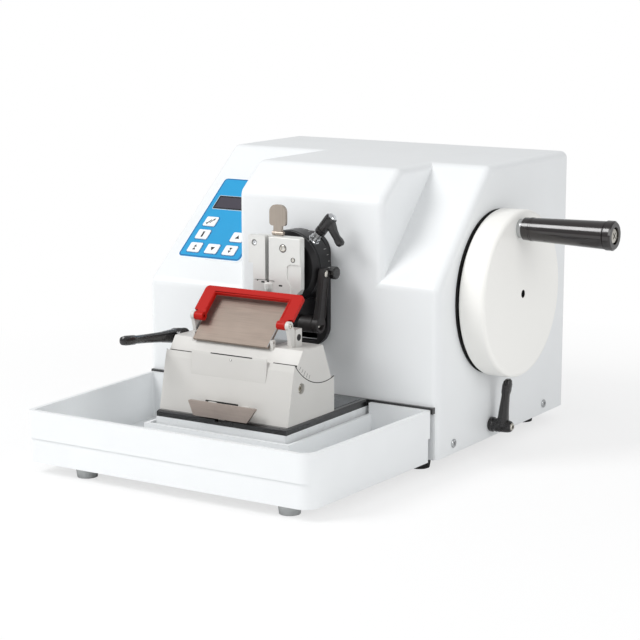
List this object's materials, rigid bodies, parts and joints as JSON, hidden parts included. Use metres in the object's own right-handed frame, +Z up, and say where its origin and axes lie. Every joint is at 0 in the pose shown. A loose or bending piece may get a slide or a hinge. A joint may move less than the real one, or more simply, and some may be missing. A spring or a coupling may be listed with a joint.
{
  "type": "rotary microtome",
  "caption": "Benchtop rotary microtome: handwheel-driven specimen head, disposable-blade holder with finger guard, keypad housing and pull-off waste tray.",
  "frame": {"origin": "centre of the overall box on the table", "axes": "+X to the operator's right along the handwheel axis, +Y away from the operator, +Z up"},
  "size_m": [0.4572, 0.468, 0.2755],
  "materials": {
    "white_enamel": "smooth baked enamel on cast iron",
    "white_housing": "moulded ABS, fine satin",
    "white_wheel": "moulded, smooth",
    "white_tray": "moulded, smooth",
    "grey_foot": "soft grey",
    "black_rubber": "matt",
    "black_enamel": "semi-gloss enamel",
    "black_anodised": "black anodised, satin",
    "black_lever": "epoxy-coated zinc casting",
    "black_plastic": "moulded",
    "black_grip": "polished phenolic",
    "blue_overlay": "printed polyester film",
    "dark_window": "tinted acrylic",
    "white_key": "embossed film",
    "circuit_board": "solder mask",
    "inner_steel": "machined",
    "bright_steel": "ground and polished",
    "silver_clamp": "bead-blasted",
    "brushed_plate": "fine brushed",
    "blade_steel": "honed",
    "grey_holder": "fine textured powder coat",
    "red_guard": "satin enamel"
  },
  "bodies": {
    "base": {"base_casting": "white_enamel", "base_plate": "black_enamel", "housing_shell": "white_housing", "rear_cover": "white_housing", "cover_screws": "bright_steel", "housing_screws": "bright_steel", "rubber_feet": "black_rubber", "slot_plate": "black_anodised", "control_panel": "blue_overlay", "display_window": "dark_window", "keypad_board": "circuit_board", "control_board": "circuit_board", "power_supply": "inner_steel", "power_inlet": "black_plastic", "bearing_frame": "inner_steel", "shaft_bearings": "bright_steel", "guide_rails": "bright_steel", "rail_frame": "inner_steel", "lock_stud": "bright_steel"},
    "switch": {"power_switch": "black_plastic"},
    "wheel": {"handwheel": "white_wheel", "drive_shaft": "bright_steel", "crank_disc": "inner_steel", "grip_spindle": "bright_steel"},
    "wheel_grip": {"grip": "black_grip"},
    "wheel_lock": {"wheel_lock_lever": "black_lever"},
    "carriage": {"head_carriage": "inner_steel", "scotch_yoke": "inner_steel", "feed_motor": "black_anodised"},
    "screw": {"feed_screw": "bright_steel"},
    "head": {"feed_cylinder": "bright_steel", "orientation_disc": "black_anodised", "lever_bracket": "black_anodised", "radial_stud": "bright_steel"},
    "head_lever": {"head_clamp_lever": "black_lever"},
    "rim_lever": {"radial_lever": "black_lever"},
    "knob": {"side_knob": "black_lever"},
    "cradle": {"tilt_cradle": "bright_steel"},
    "clamp": {"clamp_body": "silver_clamp", "clamp_screws": "bright_steel", "jaw_rod": "bright_steel"},
    "jaw": {"clamp_jaw": "silver_clamp"},
    "thumb": {"thumb_lever": "brushed_plate"},
    "holder": {"knife_base": "grey_holder"},
    "paddle": {"base_lever": "brushed_plate"},
    "rocker": {"tilting_body": "grey_holder", "blade_seat": "grey_holder", "blade": "blade_steel", "guard_brackets": "grey_holder"},
    "plate": {"pressure_plate": "brushed_plate"},
    "guard": {"finger_guard": "red_guard"},
    "blade_lever": {"blade_clamp_lever": "black_lever"},
    "tray": {"waste_tray": "white_tray", "tray_feet": "grey_foot"},
    "key_left_body": {"key_left": "white_key"},
    "key_down_body": {"key_down": "white_key"},
    "key_right_body": {"key_right": "white_key"},
    "key_run_body": {"key_run": "white_key"},
    "key_up_body": {"key_up": "white_key"},
    "key_slash_body": {"key_slash": "white_key"}
  },
  "joints": [
    {"name": "switch_rock", "type": "hinge", "parent": "base", "child": "switch", "pos_m": [-0.13745, 0.23, 0.062], "axis": [1, 0, 0], "range_deg": [-8, 8]},
    {"name": "wheel_turn", "type": "hinge", "parent": "base", "child": "wheel", "pos_m": [0.10505, 0.0762, 0.1548], "axis": [1, 0, 0], "continuous": true},
    {"name": "grip_turn", "type": "hinge", "parent": "wheel", "child": "wheel_grip", "pos_m": [0.13685, 0.0673, 0.2185], "axis": [1, 0, 0], "continuous": true},
    {"name": "wheel_lock_turn", "type": "hinge", "parent": "base", "child": "wheel_lock", "pos_m": [0.10265, 0.0723, 0.025], "axis": [1, 0, 0], "range_deg": [0, 80]},
    {"name": "head_slide", "type": "slide", "parent": "base", "child": "carriage", "axis": [0, 0, 1], "range_m": [-0.056, 0]},
    {"name": "feed_slide", "type": "slide", "parent": "carriage", "child": "head", "axis": [0, -1, 0], "range_m": [0, 0.014]},
    {"name": "feed_screw_turn", "type": "hinge", "parent": "carriage", "child": "screw", "pos_m": [-0.04095, 0.0253, 0.185], "axis": [0, -1, 0], "range_deg": [0, 2521]},
    {"name": "head_lever_turn", "type": "hinge", "parent": "head", "child": "head_lever", "pos_m": [-0.02445, -0.0667, 0.134], "axis": [1, 0, 0], "range_deg": [0, 25]},
    {"name": "rim_lever_turn", "type": "hinge", "parent": "head", "child": "rim_lever", "pos_m": [-0.04095, -0.0567, 0.185], "axis": [0.6626, 0, 0.749], "range_deg": [-35, 35]},
    {"name": "knob_turn", "type": "hinge", "parent": "head", "child": "knob", "pos_m": [0.00055, -0.0557, 0.182], "axis": [1, 0, 0], "range_deg": [-90, 90]},
    {"name": "tilt_up_down", "type": "hinge", "parent": "head", "child": "cradle", "pos_m": [-0.04095, -0.0637, 0.185], "axis": [1, 0, 0], "range_deg": [-8, 8]},
    {"name": "tilt_sideways", "type": "hinge", "parent": "cradle", "child": "clamp", "pos_m": [-0.04095, -0.0637, 0.185], "axis": [0, 0, 1], "range_deg": [-8, 8]},
    {"name": "jaw_slide", "type": "slide", "parent": "clamp", "child": "jaw", "axis": [-1, 0, 0], "range_m": [0, 0.004]},
    {"name": "thumb_swing", "type": "hinge", "parent": "clamp", "child": "thumb", "pos_m": [-0.04225, -0.0792, 0.2182], "axis": [1, 0, 0], "range_deg": [0, 30.1]},
    {"name": "holder_slide", "type": "slide", "parent": "base", "child": "holder", "axis": [0, -1, 0], "range_m": [0, 0.024]},
    {"name": "paddle_swing", "type": "hinge", "parent": "holder", "child": "paddle", "pos_m": [-0.04245, -0.1743, 0.072], "axis": [-1, 0, 0], "range_deg": [0, 25]},
    {"name": "clearance_tilt", "type": "hinge", "parent": "holder", "child": "rocker", "pos_m": [-0.04245, -0.1105, 0.1543], "axis": [1, 0, 0], "range_deg": [-5, 5]},
    {"name": "plate_open", "type": "hinge", "parent": "rocker", "child": "plate", "pos_m": [-0.04745, -0.14561, 0.13051], "axis": [1, 0, 0], "range_deg": [0, 6]},
    {"name": "guard_fold", "type": "hinge", "parent": "rocker", "child": "guard", "pos_m": [-0.04195, -0.14129, 0.14625], "axis": [1, 0, 0], "range_deg": [0, 100]},
    {"name": "blade_lever_swing", "type": "hinge", "parent": "rocker", "child": "blade_lever", "pos_m": [-0.11245, -0.1297, 0.122], "axis": [-1, 0, 0], "range_deg": [-10, 70]},
    {"name": "tray_slide", "type": "slide", "parent": "base", "child": "tray", "axis": [0, -1, 0], "range_m": [0, 0.21]},
    {"name": "key_left_press", "type": "slide", "parent": "base", "child": "key_left_body", "axis": [0, 0.6319, -0.775], "range_m": [0, 0.0005], "stiffness_N_per_m": 1000},
    {"name": "key_down_press", "type": "slide", "parent": "base", "child": "key_down_body", "axis": [0, 0.6319, -0.775], "range_m": [0, 0.0005], "stiffness_N_per_m": 1000},
    {"name": "key_right_press", "type": "slide", "parent": "base", "child": "key_right_body", "axis": [0, 0.6319, -0.775], "range_m": [0, 0.0005], "stiffness_N_per_m": 1000},
    {"name": "key_run_press", "type": "slide", "parent": "base", "child": "key_run_body", "axis": [0, 0.6319, -0.775], "range_m": [0, 0.0005], "stiffness_N_per_m": 1000},
    {"name": "key_up_press", "type": "slide", "parent": "base", "child": "key_up_body", "axis": [0, 0.6319, -0.775], "range_m": [0, 0.0005], "stiffness_N_per_m": 1000},
    {"name": "key_slash_press", "type": "slide", "parent": "base", "child": "key_slash_body", "axis": [0, 0.6319, -0.775], "range_m": [0, 0.0005], "stiffness_N_per_m": 1000}
  ],
  "couplings": [
    {"joint": "feed_screw_turn", "follows": "feed_slide", "rad_per_m": 3141.6},
    {"joint": "thumb_swing", "follows": "jaw_slide", "rad_per_m": 130.9}
  ]
}
